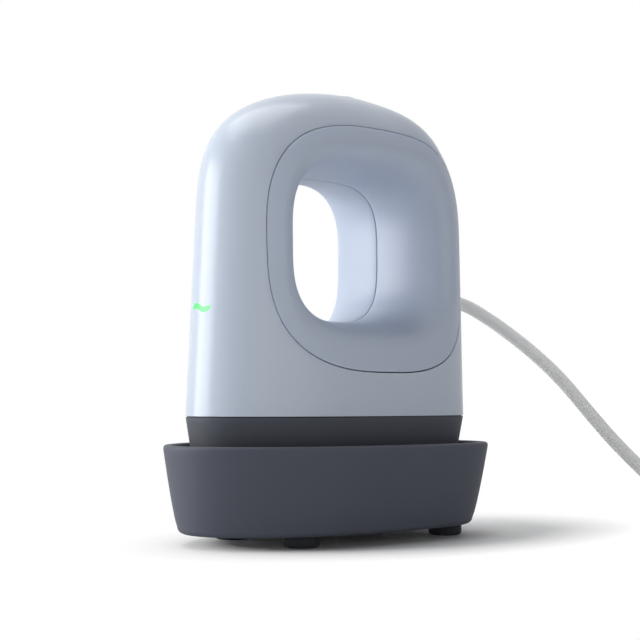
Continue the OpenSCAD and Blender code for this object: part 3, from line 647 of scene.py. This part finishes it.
def make_tray():
    """The safety base: a rounded foot, walls that flare to a soft rim, and the inside with its floor."""
    floor_top, top, half = FOOT + BASE_WALL, RIM - BASE_WALL / 2, BASE_WALL / 2
    wall_power, rim_power = 0.8, 0.6
    corner = [math.radians(15 * k) for k in range(7)]

    def grow(z):
        return OVER_EDGE + (OVER_RIM - OVER_EDGE) * (
            max(0.0, z - FOOT - BASE_EDGE) / (RIM - FOOT - BASE_EDGE)) ** wall_power

    def rounded(edge, height):
        """A quarter circle from the flat at a height up to the wall at an edge."""
        return [(edge + BASE_EDGE * math.sin(a), height + BASE_EDGE * (1 - math.cos(a))) for a in corner]

    outer = rounded(OVER_EDGE - BASE_EDGE, FOOT)
    outer += [(grow(z), z) for z in (mix(FOOT + BASE_EDGE, top, k / 14) for k in range(1, 15))]
    rim = []
    for a in (math.radians(7.5 * k) for k in range(1, 24)):
        c, s = math.cos(a), math.sin(a)
        rim.append((grow(top) - half + half * math.copysign(abs(c) ** rim_power, c), top + half * s**rim_power))
    inner = [(grow(z) - BASE_WALL, z) for z in (mix(floor_top + BASE_EDGE, top, k / 14) for k in range(14, 0, -1))]
    inner += rounded(grow(floor_top + BASE_EDGE) - BASE_WALL - BASE_EDGE, floor_top)[::-1]
    tray = grid_piece("base_moulding", plan_rows(outer + rim + inner), closed_columns=True, caps=True)
    weld(tray)
    return tray


def make_button():
    """A round cap with a shallow dish, a soft edge, and a flange and a stem inside the shell."""
    r, top, turns = button_radius(), TOP - BUTTON_SUNK, 96
    dish = [(0.35, 0.3), (0.62, 0.12), (0.78, 0.02), (0.86, 0.0)]
    dish_middle, flange_out, flange_under, stem, stem_end = 0.35, 1, FLANGE - 1, 1.5, FLANGE - 2
    profile = [(r * share, top - sunk) for share, sunk in dish]
    for a in (math.radians(15 * k) for k in range(1, 7)):
        profile.append((r - BUTTON_EDGE + BUTTON_EDGE * math.sin(a), top - BUTTON_EDGE + BUTTON_EDGE * math.cos(a)))
    profile += [(r, FLANGE), (r + flange_out, FLANGE), (r + flange_out, flange_under), (stem, flange_under)]
    profile.append((stem, stem_end))
    angles = [math.tau * k / turns for k in range(turns)]
    points = [(WIDEST + radius * math.cos(a), radius * math.sin(a), z) for radius, z in profile for a in angles]
    faces = grid_faces(len(profile), turns, closed_columns=True)
    middle, end, last = len(points), len(points) + 1, len(points) - turns
    points += [(WIDEST, 0, top - dish_middle), (WIDEST, 0, stem_end)]
    faces += [(middle, j, (j + 1) % turns) for j in range(turns)]
    faces += [(end, last + (j + 1) % turns, last + j) for j in range(turns)]
    button = mesh_piece("button_cap", points, faces)
    weld(button, 0.002)
    return button


def make_indicator():
    """The wave that glows on the nose, almost flush with the shell."""
    length, height, stroke, place, level = 8.4, 0.6, 1.6, 1.0, 66.0
    steps, proud, sunk = 48, 0.06, -1.2
    thin_end, end_power = 0.45, 6

    def surface(y, z, out):
        return WIDEST - nose_reach(z) * math.sqrt(1 - (y / side_reach(z)) ** 2) - out

    rows = []
    for k in range(steps + 1):
        t = k / steps
        y = place + mix(-length / 2, length / 2, t)
        z = level - height * math.sin(math.tau * t)
        half = stroke / 2 * mix(thin_end, 1.0, math.sqrt(max(0.0, 1 - (2 * abs(t - 0.5)) ** end_power)))
        front = [(surface(y, z + s * half, proud), y, z + s * half) for s in (-1, -0.6, 0, 0.6, 1)]
        rows.append(front + [(surface(y, z + s * half, sunk), y, z + s * half) for s in (1, -1)])
    wave = grid_piece("indicator_wave", rows, closed_columns=True, caps=True)
    weld(wave, 0.001)
    return wave


def make_plug():
    """The plug's moulded body: a merged copy of the frame's, with soft edges."""
    plug = bpy.data.objects.new("plug_moulding", frame["nodes"]["plug_body"].data.copy())
    bpy.context.scene.collection.objects.link(plug)
    weld(plug)
    bpy.ops.object.mode_set(mode="EDIT")
    bpy.ops.mesh.select_all(action="SELECT")
    bpy.ops.mesh.dissolve_limited(angle_limit=math.radians(1))
    bpy.ops.object.mode_set(mode="OBJECT")
    round_edges(plug, 1.3, segments=4, angle=12)
    return plug


# ---------- The cord ----------

# The cord's diameter, and the free length's way from the body down to the table and on to the coil
CORD = 4.2
ROUTE = [
    (44.55, 0, 72.6), (52, 0, 72.6), (59, 0, 72.6), (62, -0.1, 72.3), (65, -0.5, 71.6), (68, -1.5, 70.3),
    (71, -3.2, 68.3), (75, -6.4, 64.9), (80, -11.8, 59.2), (83, -15.7, 54.9), (86, -19.9, 50), (88.5, -23.8, 44.9),
    (90.8, -28, 39.1), (93, -32.2, 33.4), (95.2, -36.4, 27.9), (97.4, -40.7, 22.8), (99.5, -45.1, 18),
    (101, -49.8, 13.4), (102.1, -54.6, 9.4), (102.8, -59.5, 6.2), (103.2, -64.5, 3.9), (103.4, -69.6, 2.5),
    (103.4, -74.8, 2.1), (103.4, -80, 2.1), (103.4, -85, 2.1), (103.4, -90.5, 2.1), (103.4, -96.4, 2.1),
]

# The coil's outer radius, the step from turn to turn and from layer to layer, its turns in a layer and its layers
COIL_RADIUS, COIL_PITCH, COIL_TURNS, COIL_LAYERS = 29.6, 4.7, 2.72, 4

# The tail: how far it follows the coil, the radius of its bend, its straight end, and the run of its climb; then
# the plug's height and the gap under it
TAIL_RUN, TAIL_RADIUS, TAIL_STRAIGHT, TAIL_CLIMB = 22.0, 19.0, 4.2, 45.0
PLUG_HEIGHT, PLUG_GAP = 14.0, 0.01


def through(points, steps):
    """A smooth curve through points."""
    out = []
    for k in range(len(points) - 1):
        a, b = Vector(points[max(k - 1, 0)]), Vector(points[k])
        c, d = Vector(points[k + 1]), Vector(points[min(k + 2, len(points) - 1)])
        for i in range(steps):
            t = i / steps
            curve = 2 * b + (c - a) * t + (2 * a - 5 * b + 4 * c - d) * t * t + (3 * b - a - 3 * c + d) * t**3
            out.append(0.5 * curve)
    return out + [Vector(points[-1])]


def cord_path():
    """The middle line of the whole cord in millimetres: free length, coil and tail."""
    rough = through(ROUTE, 2)
    heading = (rough[-1] - rough[-2]).normalized()
    start = math.atan2(heading.x, -heading.y)
    middle = rough[-1] + heading * CORD - COIL_RADIUS * Vector((math.cos(start), math.sin(start), 0))
    total = COIL_TURNS * COIL_LAYERS
    lift_early, lift_run = 0.25, 0.5

    def depth(t):
        k = min(COIL_LAYERS - 1, math.floor(t / COIL_TURNS))
        f = t / COIL_TURNS - k
        return (f if k % 2 == 0 else 1 - f) * COIL_TURNS * COIL_PITCH

    def lift(t):
        starts = [k * COIL_TURNS - lift_early for k in range(1, COIL_LAYERS)]
        return sum(COIL_PITCH * smooth((t - start_turn) / lift_run) for start_turn in starts)

    def coil(t):
        r, a = COIL_RADIUS - depth(t), start - math.tau * t
        return middle + Vector((r * math.cos(a), r * math.sin(a), lift(t)))

    count = 48
    winds = [coil(k / count) for k in range(math.floor(total * count) + 1)]
    foot, end = coil(total), start - math.tau * total
    rise = (COIL_LAYERS - 1) * COIL_PITCH + CORD + PLUG_HEIGHT / 2 + PLUG_GAP - foot.z
    turned = end - TAIL_RUN / COIL_RADIUS
    hub = middle + (COIL_RADIUS - TAIL_RADIUS) * Vector((math.cos(turned), math.sin(turned), 0))
    bend = TAIL_RADIUS * math.pi / 2
    away = Vector((math.sin(turned - math.pi / 2), -math.cos(turned - math.pi / 2), 0))

    def tail_point(s):
        if s < TAIL_RUN:
            a = end - s / COIL_RADIUS
            q = middle + COIL_RADIUS * Vector((math.cos(a), math.sin(a), 0))
        else:
            a = turned - min(s - TAIL_RUN, bend) / TAIL_RADIUS
            q = hub + TAIL_RADIUS * Vector((math.cos(a), math.sin(a), 0)) + max(0.0, s - TAIL_RUN - bend) * away
        return Vector((q.x, q.y, foot.z + rise * smooth(s / TAIL_CLIMB)))

    length = TAIL_RUN + bend + TAIL_STRAIGHT
    return through(ROUTE, 4) + winds + [tail_point(length * k / 30) for k in range(31)]


def make_cord(path):
    """A round tube along the cord's middle line."""
    sides = bpy.context.scene.press_sizes.cord_sides
    turns = [(math.cos(math.tau * k / sides), math.sin(math.tau * k / sides)) for k in range(sides)]
    rows = []
    for i, p in enumerate(path):
        ahead = (path[min(i + 1, len(path) - 1)] - path[max(i - 1, 0)]).normalized()
        aside = ahead.cross(Vector((0, 0, 1))).normalized()
        up = aside.cross(ahead)
        rows.append([tuple(p + CORD / 2 * (c * aside + s * up)) for c, s in turns])
    cord = grid_piece("power_lead", rows, closed_columns=True, caps=True)
    weld(cord, 0.001)
    return cord


# ---------- The studio ----------

# The oval of floor that keeps the shadow: its middle and half sizes in metres, and where its fade starts and how
# wide that is, as shares of the oval. Past it a camera sees plain white.
FLOOR_MIDDLE, FLOOR_OVAL, FADE_START, FADE_WIDTH = (0.027, -0.005, 0.0), (0.072, 0.045, 1.0), 0.8, 0.5
FLOOR_COLOUR, SKY_COLOUR, SKY_STRENGTH = (0.9, 0.9, 0.9), (0.96, 0.98, 1.0, 1.0), 0.2
WHITE = (1, 1, 1, 1)

# Each lamp's place, what it points at, its width and height, and its power
LAMPS = {
    "key_window": ((-0.8, 0.66, 0.28), (0, 0, 0.08), (0.8, 0.6), 9.6),
    "overhead_soft": ((-0.15, 0.2, 1.0), (0, 0, 0.05), (0.8, 0.8), 6.0),
    "front_fill": ((-0.35, -1.0, 0.2), (0, 0, 0.08), (0.9, 0.4), 1.35),
}

# The camera's place in metres, and its tilt up from level and its turn from +Y in degrees
CAMERA_PLACE, CAMERA_TILT, CAMERA_TURN = (-0.26302, -0.29211, 0.03996), 3.539, -42.076


def make_floor():
    start_clean()
    bpy.ops.mesh.primitive_plane_add(size=8.0, location=(0, 0, 0))
    floor = bpy.context.object
    floor.name = "studio_floor"
    p = Paint("studio floor", FLOOR_COLOUR, 0.6, Specular_IOR_Level=0.2)
    apart = p.place
    for operation, value in (("SUBTRACT", FLOOR_MIDDLE), ("DIVIDE", FLOOR_OVAL)):
        apart = p.node("ShaderNodeVectorMath", {"operation": operation}, {0: apart, 1: value})
    apart = p.node("ShaderNodeVectorMath", {"operation": "LENGTH"}, {0: apart}, output="Value")
    far = ((apart - FADE_START) / FADE_WIDTH).clamp()
    white = p.node("ShaderNodeEmission", {}, {"Color": WHITE})
    p.mixed_surface(far * p.ray("Is Camera Ray"), Wire(p, p.bsdf.outputs[0]), white)
    floor.data.materials.append(p.material)


def make_world():
    """A weak, even light that shows white to the camera and in gloss and glass."""
    world = bpy.data.worlds.new("studio")
    bpy.context.scene.world = world
    world.use_nodes = True
    nodes = Nodes(world.node_tree)
    seen = nodes.ray("Is Camera Ray").larger(nodes.ray("Is Glossy Ray")).larger(nodes.ray("Is Transmission Ray"))
    soft = nodes.node("ShaderNodeBackground", {}, {"Color": SKY_COLOUR, "Strength": SKY_STRENGTH})
    white = nodes.node("ShaderNodeBackground", {}, {"Color": WHITE})
    nodes.mixed_surface(seen, soft, white)


def make_lights():
    for name, (place, target, size, power) in LAMPS.items():
        data = bpy.data.lights.new(name, "AREA")
        data.shape = "RECTANGLE"
        data.size, data.size_y = size
        data.energy = power
        lamp = bpy.data.objects.new(name, data)
        bpy.context.scene.collection.objects.link(lamp)
        lamp.location = place
        lamp.rotation_euler = (Vector(target) - Vector(place)).to_track_quat("-Z", "Y").to_euler()


def make_camera(lens):
    data = bpy.data.cameras.new("view")
    camera = bpy.data.objects.new("view", data)
    bpy.context.scene.collection.objects.link(camera)
    data.lens, data.sensor_width, data.sensor_fit = lens, 36.0, "HORIZONTAL"
    data.clip_start = 0.01
    camera.location = CAMERA_PLACE
    camera.rotation_euler = (math.radians(90 + CAMERA_TILT), 0.0, math.radians(CAMERA_TURN))
    bpy.context.scene.camera = camera


# ---------- Properties, operators and panel ----------

def colour_property(name, description, value):
    return FloatVectorProperty(name=name, description=description, subtype="COLOR", size=3, min=0.0, max=1.0,
                               default=linear(value))


class PressColours(PropertyGroup):
    shell: colour_property("Shell", "Colour of the glossy shell", (186, 196, 211))
    grip: colour_property("Grips", "Colour of the satin grips", (182, 192, 210))
    button: colour_property("Button", "Colour of the power button", (196, 205, 217))
    skirt: colour_property("Skirt", "Colour of the heat skirt", (59, 62, 72))
    base: colour_property("Base", "Colour of the safety base", (68, 72, 84))
    cord: colour_property("Cord", "Colour of the cord and the plug", (236, 236, 235))
    indicator: colour_property("Indicator", "Colour of the lit indicator", (60, 205, 90))


class PressSizes(PropertyGroup):
    button_width: FloatProperty(name="Button width", description="Diameter of the power button", default=12 * MM,
                                min=9 * MM, max=13 * MM, unit="LENGTH")
    lens: FloatProperty(name="Lens", description="Focal length of the camera", default=74.5, min=20.0, max=200.0,
                        subtype="DISTANCE_CAMERA")
    cord_sides: IntProperty(name="Cord sides", description="Sides of the cord's tube", default=16, min=8, max=32)


class PieceOperator:
    """What every operator here has."""

    bl_options = {"REGISTER", "UNDO"}


class HEATPRESS_OT_stage(PieceOperator, Operator):
    """Set up the floor, the soft lights and the camera"""

    bl_idname = "heatpress.stage"
    bl_label = "Studio"

    def execute(self, context):
        make_floor()
        make_world()
        make_lights()
        make_camera(context.scene.press_sizes.lens)
        return {"FINISHED"}


class HEATPRESS_OT_plug(PieceOperator, Operator):
    """Soften the edges of the plug's moulded body"""

    bl_idname = "heatpress.plug"
    bl_label = "Plug"

    def execute(self, context):
        finish_piece(make_plug(), "base", "cord_jacket", "plug_body")
        return {"FINISHED"}


class HEATPRESS_OT_cord(PieceOperator, Operator):
    """Lay the cord from the back of the body to its plug"""

    bl_idname = "heatpress.cord"
    bl_label = "Cord"

    def execute(self, context):
        path = cord_path()
        cord = make_cord(path)
        pick(cord)
        bpy.ops.object.shade_smooth_by_angle(angle=CORD_SMOOTH_ANGLE)
        dress(cord, "cord_jacket")
        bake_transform(cord)
        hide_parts("power_cord", "cord_coil")
        path = [p * MM for p in path]
        length = sum((b - a).length for a, b in zip(path, path[1:]))
        return {"FINISHED"}


class HEATPRESS_OT_finishes(PieceOperator, Operator):
    """Give every piece of the frame its own finish, and give the button's spring a mesh of its own"""

    bl_idname = "heatpress.finishes"
    bl_label = "Frame finishes"

    def execute(self, context):
        slots = {s["node"]: s["material_slot"] for s in frame["record"]["subparts"]}
        for node, obj in frame["nodes"].items():
            dress(obj, slots[node])
        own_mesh(frame["nodes"]["button_spring"])
        return {"FINISHED"}


class HEATPRESS_OT_shell(PieceOperator, Operator):
    """Model the glossy arched shell with its opening for the grips"""

    bl_idname = "heatpress.shell"
    bl_label = "Shell"

    def execute(self, context):
        finish_piece(make_shell(), "press", "shell_gloss", "outer_shell")
        return {"FINISHED"}


class HEATPRESS_OT_grips(PieceOperator, Operator):
    """Model the two satin grips that flare into the finger hole"""

    bl_idname = "heatpress.grips"
    bl_label = "Grips"

    def execute(self, context):
        finish_piece(make_grip(-1), "press", "grip_satin", "grip_near")
        finish_piece(make_grip(1), "press", "grip_satin", "grip_far")
        return {"FINISHED"}


class HEATPRESS_OT_skirt(PieceOperator, Operator):
    """Model the heat skirt under the shell"""

    bl_idname = "heatpress.skirt"
    bl_label = "Skirt"

    def execute(self, context):
        finish_piece(make_skirt(), "press", "skirt_plastic", "skirt")
        return {"FINISHED"}


class HEATPRESS_OT_base(PieceOperator, Operator):
    """Model the safety base that the press stands in"""

    bl_idname = "heatpress.base"
    bl_label = "Safety base"

    def execute(self, context):
        finish_piece(make_tray(), "base", "base_plastic", "base_tray")
        return {"FINISHED"}


class HEATPRESS_OT_button(PieceOperator, Operator):
    """Model the power button on the top"""

    bl_idname = "heatpress.button"
    bl_label = "Power button"

    def execute(self, context):
        finish_piece(make_button(), "button", "button_gloss", "power_button")
        return {"FINISHED"}


class HEATPRESS_OT_indicator(PieceOperator, Operator):
    """Model the lit wave on the nose"""

    bl_idname = "heatpress.indicator"
    bl_label = "Heat indicator"

    def execute(self, context):
        finish_piece(make_indicator(), "press", "indicator", "light_guide")
        return {"FINISHED"}


OPERATORS = (
    HEATPRESS_OT_stage, HEATPRESS_OT_plug, HEATPRESS_OT_cord, HEATPRESS_OT_finishes, HEATPRESS_OT_shell,
    HEATPRESS_OT_grips, HEATPRESS_OT_skirt, HEATPRESS_OT_base, HEATPRESS_OT_button, HEATPRESS_OT_indicator,
)


class HEATPRESS_PT_pieces(Panel):
    """The press's sizes, colours and pieces"""

    bl_idname = "HEATPRESS_PT_pieces"
    bl_label = "Mini Heat Press"
    bl_space_type = "VIEW_3D"
    bl_region_type = "UI"
    bl_category = "Heat Press"

    def draw(self, context):
        column = self.layout.column()
        for group in (context.scene.press_sizes, context.scene.press_colours):
            for name in group.bl_rna.properties.keys():
                if name not in {"rna_type", "name"}:
                    column.prop(group, name)
        for operator in OPERATORS:
            column.operator(operator.bl_idname)


CLASSES = (PressColours, PressSizes, *OPERATORS, HEATPRESS_PT_pieces)


def register():
    for cls in CLASSES:
        bpy.utils.register_class(cls)
    bpy.types.Scene.press_colours = PointerProperty(type=PressColours)
    bpy.types.Scene.press_sizes = PointerProperty(type=PressSizes)


def unregister():
    del bpy.types.Scene.press_sizes
    del bpy.types.Scene.press_colours
    for cls in reversed(CLASSES):
        bpy.utils.unregister_class(cls)


def main():
    register()
    bpy.context.scene.view_settings.view_transform = "Standard"
    start_clean()
    for operator in OPERATORS:
        group, name = operator.bl_idname.split(".")
        getattr(getattr(bpy.ops, group), name)()


if __name__ == "__main__":
    main()
